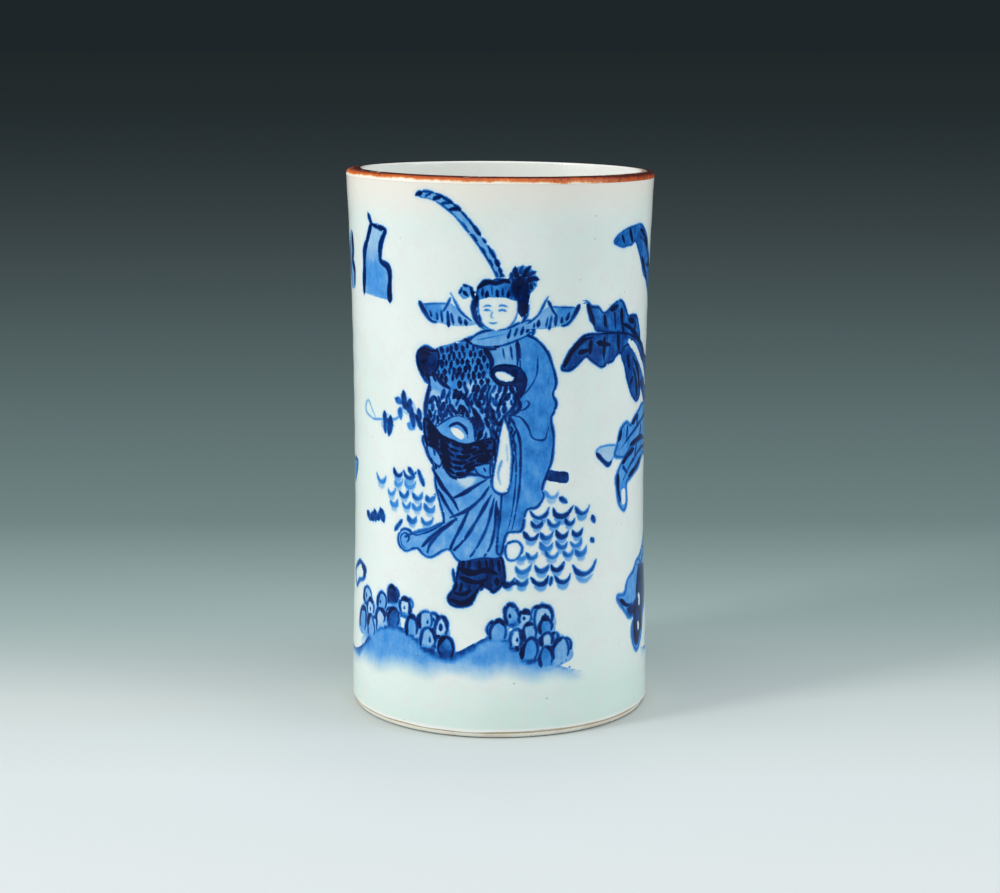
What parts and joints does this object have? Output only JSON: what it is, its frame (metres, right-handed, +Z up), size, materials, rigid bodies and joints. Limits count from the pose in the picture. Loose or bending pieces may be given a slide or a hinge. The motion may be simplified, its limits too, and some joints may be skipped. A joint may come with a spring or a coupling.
{
  "type": "brush pot",
  "caption": "Slender waisted porcelain cylinder with an open brush well, a flat bare foot and a brown-dressed lip, painted in underglaze blue.",
  "frame": {"origin": "centre of the foot plane", "axes": "+Z up along the pot's axis; +Y away from the painted front, which faces -Y"},
  "size_m": [0.0998, 0.0998, 0.1764],
  "materials": {
    "clay": "bare fired porcelain clay, matt, faintly buff where it meets the glaze",
    "clear_glaze": "clear glossy glaze over white porcelain, blue-white with a green cast, over cobalt painting on the outside",
    "iron_glaze": "thin iron-brown dressing, worn and broken along its edge"
  },
  "bodies": {
    "root": {"wall": "clay", "floor_disc": "clay", "luting_coil": "clay", "outer_glaze": "clear_glaze", "rim_dressing": "iron_glaze", "inner_glaze": "clear_glaze"}
  },
  "joints": []
}
